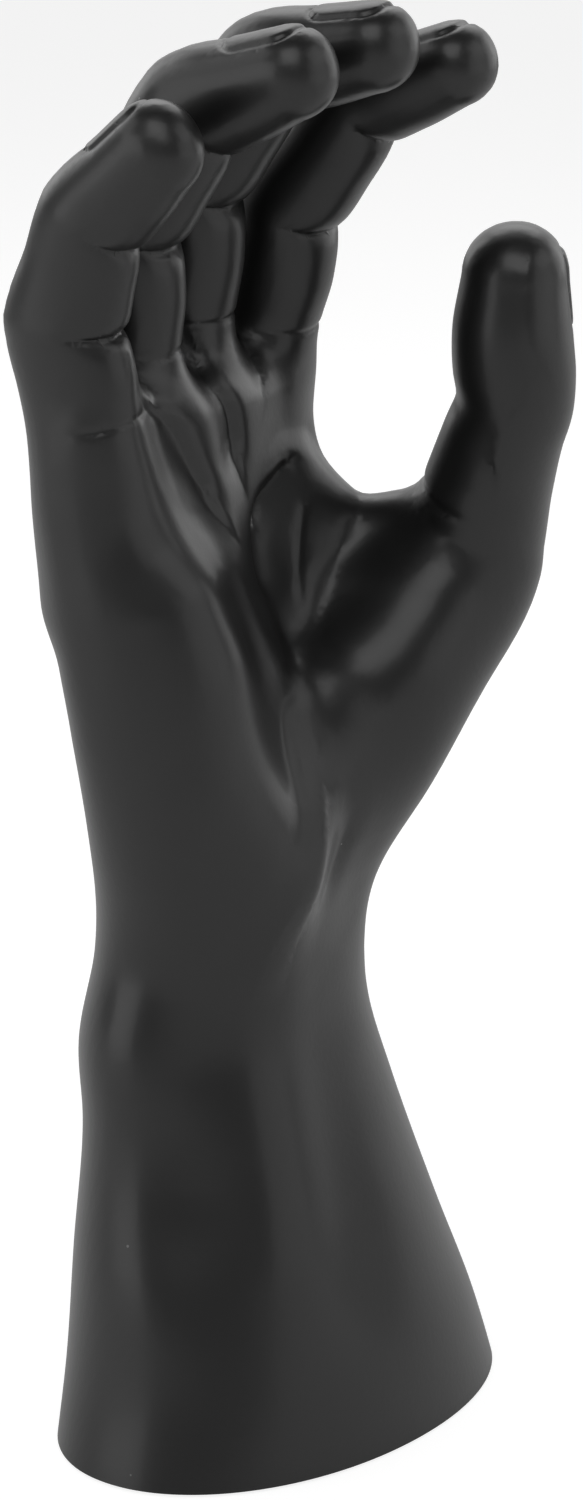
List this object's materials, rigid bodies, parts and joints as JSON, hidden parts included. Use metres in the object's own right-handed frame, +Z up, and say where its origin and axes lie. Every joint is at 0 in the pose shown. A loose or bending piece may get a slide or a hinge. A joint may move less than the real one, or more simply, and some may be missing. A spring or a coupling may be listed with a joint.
{
  "type": "hand mannequin",
  "caption": "Free-standing right hand display form on its forearm, fingers and thumb curled open round a C-shaped space, satin black.",
  "frame": {"origin": "on the surface it stands on, under the middle of the oval foot", "axes": "+Z up along the forearm to the fingertips, palm faces -Y, thumb side is +X"},
  "size_m": [0.1048, 0.0773, 0.2609],
  "materials": {
    "shell": "satin",
    "plate": "matte",
    "ballast": "rough",
    "screw": "zinc plated",
    "pad": "matte"
  },
  "bodies": {
    "root": {"hand_shell": "shell", "base_plate": "plate", "ballast_block": "ballast", "foot_pad": "pad", "base_screw_1": "screw", "base_screw_2": "screw", "base_screw_3": "screw", "base_screw_4": "screw"}
  },
  "joints": []
}
